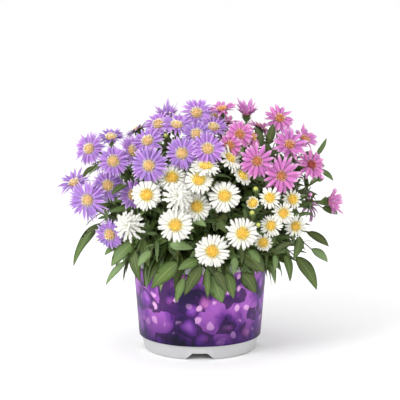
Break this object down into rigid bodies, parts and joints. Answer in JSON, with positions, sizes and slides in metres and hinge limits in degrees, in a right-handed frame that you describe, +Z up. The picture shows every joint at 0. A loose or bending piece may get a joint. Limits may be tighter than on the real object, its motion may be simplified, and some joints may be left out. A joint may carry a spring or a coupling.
{
  "type": "potted bushy aster",
  "caption": "Bushy aster in a round nursery pot: purple, pink and white daisy flowers in one dome on leafy stems, in a pot with a printed sleeve and a notched foot.",
  "frame": {"origin": "centre of the plant in plan, on the surface that the pot stands on", "axes": "+Z up, -Y towards the viewer of the picture (the front of the plant), +X to the viewer's right"},
  "size_m": [0.254, 0.2206, 0.229],
  "materials": {
    "pot": "satin",
    "sleeve": "gloss",
    "soil": "matte",
    "foliage": "matte",
    "petals_purple": "matte",
    "petals_pink": "matte",
    "petals_white": "matte"
  },
  "bodies": {
    "root": {"pot_body": "pot", "printed_sleeve": "sleeve", "soil": "soil", "leafy_stem_purple_left": "foliage", "leafy_stem_purple_high_left": "foliage", "leafy_stem_purple_middle": "foliage", "leafy_stem_purple_top": "foliage", "leafy_stem_purple_back": "foliage", "leafy_stem_purple_back_middle": "foliage", "leafy_stem_pink_middle": "foliage", "leafy_stem_pink_right": "foliage", "leafy_stem_pink_back_middle": "foliage", "leafy_stem_pink_back": "foliage", "leafy_stem_white_left": "foliage", "leafy_stem_white_middle": "foliage", "leafy_stem_white_right": "foliage", "leafy_stem_white_spray": "foliage", "purple_01": "petals_purple", "purple_02": "petals_purple", "purple_03": "petals_purple", "purple_04": "petals_purple", "purple_05": "petals_purple", "purple_06": "petals_purple", "purple_07": "petals_purple", "purple_08": "petals_purple", "purple_09": "petals_purple", "purple_10": "petals_purple", "purple_11": "petals_purple", "purple_12": "petals_purple", "purple_13": "petals_purple", "purple_14": "petals_purple", "purple_15": "petals_purple", "purple_16": "petals_purple", "purple_17": "petals_purple", "purple_18": "petals_purple", "purple_19": "petals_purple", "purple_20": "petals_purple", "pink_01": "petals_pink", "pink_02": "petals_pink", "pink_03": "petals_pink", "pink_04": "petals_pink", "pink_05": "petals_pink", "pink_06": "petals_pink", "pink_07": "petals_pink", "pink_08": "petals_pink", "pink_09": "petals_pink", "pink_10": "petals_pink", "pink_11": "petals_pink", "pink_12": "petals_pink", "white_01": "petals_white", "white_02": "petals_white", "white_03": "petals_white", "white_04": "petals_white", "white_05": "petals_white", "white_06": "petals_white", "white_07": "petals_white", "white_08": "petals_white", "white_09": "petals_white", "white_10": "petals_white", "white_11": "petals_white"}
  },
  "joints": []
}
